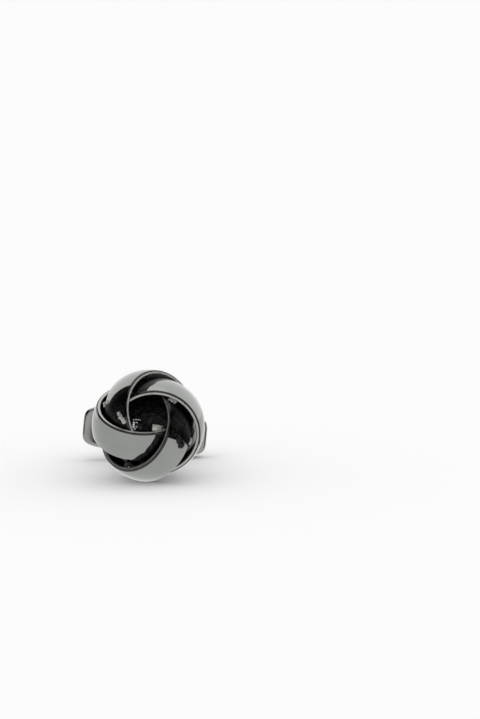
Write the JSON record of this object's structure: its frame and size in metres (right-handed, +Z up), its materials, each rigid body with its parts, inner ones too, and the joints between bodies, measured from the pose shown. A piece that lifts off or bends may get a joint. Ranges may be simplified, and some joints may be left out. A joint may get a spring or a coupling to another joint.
{
  "type": "knot cufflink",
  "caption": "Cufflink with an open knot of interlaced polished hoops on a forked post and a flat swivelling toggle.",
  "frame": {"origin": "on the post's own axis, halfway along the gap between the fork's base and the toggle, where the shirt cuff sits", "axes": "+Z is up from the surface that the cufflink lies on, +Y runs away from the viewer of the picture, from the knot to the toggle, and +X is to the right as seen from the knot's side. The post slopes down towards the toggle by 12.5 degrees and is rolled by 7.1 degrees, because the cufflink lies on its side."},
  "size_m": [0.017, 0.0246, 0.0146],
  "materials": {
    "plating": "polished dark gunmetal plating",
    "rough_casting": "blackened, rough as cast",
    "solder": "frozen solder, half bright",
    "steel": "plain steel, lightly brushed"
  },
  "bodies": {
    "head": {"band_left": "plating", "band_bottom": "plating", "band_right": "plating", "band_top": "plating", "solder_beads": "solder", "back_bowl": "rough_casting", "tenon_solder": "solder", "post_foot": "plating", "post_fork": "plating", "hinge_pin": "steel"},
    "toggle": {"toggle_front_shell": "plating", "toggle_back_shell": "plating", "detent_spring": "steel"}
  },
  "joints": [
    {"name": "toggle_swivel", "type": "hinge", "parent": "head", "child": "toggle", "pos_m": [0, 0.00498, -0.00111], "axis": [0.1242, 0.2153, 0.9686], "range_deg": [-90, 90], "deforming": ["detent_spring"]}
  ]
}
